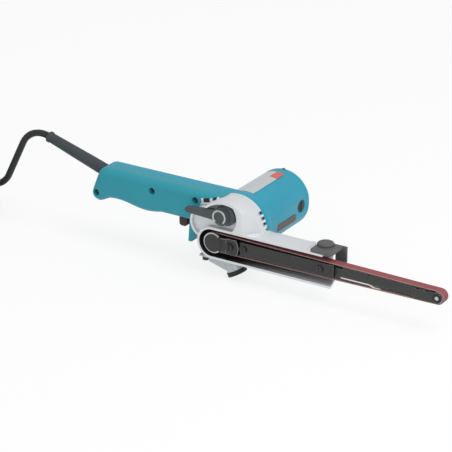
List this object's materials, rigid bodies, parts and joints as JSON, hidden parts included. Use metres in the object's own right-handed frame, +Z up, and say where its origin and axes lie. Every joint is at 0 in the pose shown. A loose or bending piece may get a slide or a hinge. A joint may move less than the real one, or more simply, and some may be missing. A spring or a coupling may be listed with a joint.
{
  "type": "power file, a narrow belt sander",
  "caption": "Hand-held power file with a teal motor housing across the handle, a die-cast belt housing and a sprung arm with a narrow abrasive belt.",
  "frame": {"origin": "middle of the tool's box, without its cord, at the lowest point of the dust nozzle's collar", "axes": "+X along the arm to its tip, +Y along the motor axis away from the open side of the belt housing, +Z up"},
  "size_m": [0.666, 0.1919, 0.101],
  "materials": {
    "housing_plastic": "moulded teal nylon, satin",
    "cast_alloy": "die-cast, tumbled, satin",
    "dark_plastic": "moulded, satin",
    "black_rubber": "matt",
    "steel": "machined",
    "black_steel": "blackened",
    "arm_steel": "dark phosphate",
    "abrasive": "coated abrasive cloth",
    "copper": "enamelled copper",
    "bronze": "sintered",
    "carbon": "pressed carbon",
    "trigger_plastic": "moulded, satin"
  },
  "bodies": {
    "housing": {"gear_housing": "cast_alloy", "bearing_plate": "cast_alloy", "dust_nozzle": "cast_alloy", "motor_housing": "housing_plastic", "motor_end_cover": "housing_plastic", "handle_cover": "housing_plastic", "stator_core": "steel", "field_coils": "copper", "brush_holders": "bronze", "carbon_brushes": "carbon", "brush_caps": "dark_plastic", "front_motor_bearing": "steel", "rear_motor_bearing": "steel", "spindle_bush": "bronze", "spindle_bearing": "steel", "pulley_cover": "black_steel", "cover_screw": "steel", "arm_guide": "arm_steel", "arm_plate": "black_steel", "arm_screws": "black_steel", "abrasive_belt": "abrasive", "belt_guard": "dark_plastic", "nozzle_collar": "black_rubber", "nozzle_screw": "black_steel", "switch_body": "dark_plastic", "handle_screws": "black_steel", "housing_screws": "steel", "end_cover_screws": "black_steel", "strain_relief": "black_rubber", "tension_spring": "steel", "trigger_spring": "steel", "power_cord": "black_rubber", "cord_coil": "black_rubber", "coil_tie": "dark_plastic", "plug_body": "black_rubber", "plug_pins": "steel"},
    "armature": {"armature_shaft": "steel", "armature_core": "steel", "commutator": "copper", "cooling_fan": "dark_plastic", "drive_pinion": "steel"},
    "spindle_group": {"spindle": "steel", "driven_gear": "steel", "drive_pulley": "steel", "pulley_screw": "black_steel"},
    "arm": {"arm_bar": "arm_steel", "shoe_plate": "steel", "shoe_rivets": "steel", "idler_pin": "steel"},
    "idler": {"idler_pulley": "steel"},
    "lever": {"tension_lever": "dark_plastic", "lever_cap": "dark_plastic", "lever_shaft": "steel"},
    "tracking": {"tracking_knob": "dark_plastic", "tracking_screw": "steel"},
    "trigger_piece": {"trigger": "trigger_plastic"},
    "lock": {"lock_button": "dark_plastic"}
  },
  "joints": [
    {"name": "armature_spin", "type": "hinge", "parent": "housing", "child": "armature", "pos_m": [-0.03349, -0.0355, 0.04933], "axis": [0, 1, 0], "continuous": true},
    {"name": "spindle_spin", "type": "hinge", "parent": "housing", "child": "spindle_group", "pos_m": [-0.04812, -0.0435, 0.03569], "axis": [0, 1, 0], "continuous": true},
    {"name": "idler_spin", "type": "hinge", "parent": "arm", "child": "idler", "pos_m": [0.19302, -0.047, 0.03569], "axis": [0, 1, 0], "continuous": true},
    {"name": "arm_slide", "type": "slide", "parent": "housing", "child": "arm", "axis": [1, 0, 0], "range_m": [-0.008, 0], "stiffness_N_per_m": 1500, "springref_m": 0.004, "deforming": ["tension_spring"]},
    {"name": "lever_swing", "type": "hinge", "parent": "housing", "child": "lever", "pos_m": [-0.03812, -0.0555, 0.0663], "axis": [0, 1, 0], "range_deg": [-20, 0]},
    {"name": "tracking_turn", "type": "hinge", "parent": "housing", "child": "tracking", "pos_m": [0.06788, -0.038, 0.0547], "axis": [0, 0, 1], "range_deg": [-180, 180]},
    {"name": "trigger_pull", "type": "slide", "parent": "housing", "child": "trigger_piece", "axis": [0, 0, 1], "range_m": [0, 0.005], "stiffness_N_per_m": 800, "springref_m": -0.003, "deforming": ["trigger_spring"]},
    {"name": "lock_press", "type": "slide", "parent": "housing", "child": "lock", "axis": [0, -1, 0], "range_m": [0, 0.003], "stiffness_N_per_m": 600, "springref_m": -0.002}
  ],
  "couplings": [
    {"joint": "spindle_spin", "follows": "armature_spin", "ratio": -0.47059},
    {"joint": "idler_spin", "follows": "armature_spin", "ratio": -0.73779}
  ]
}
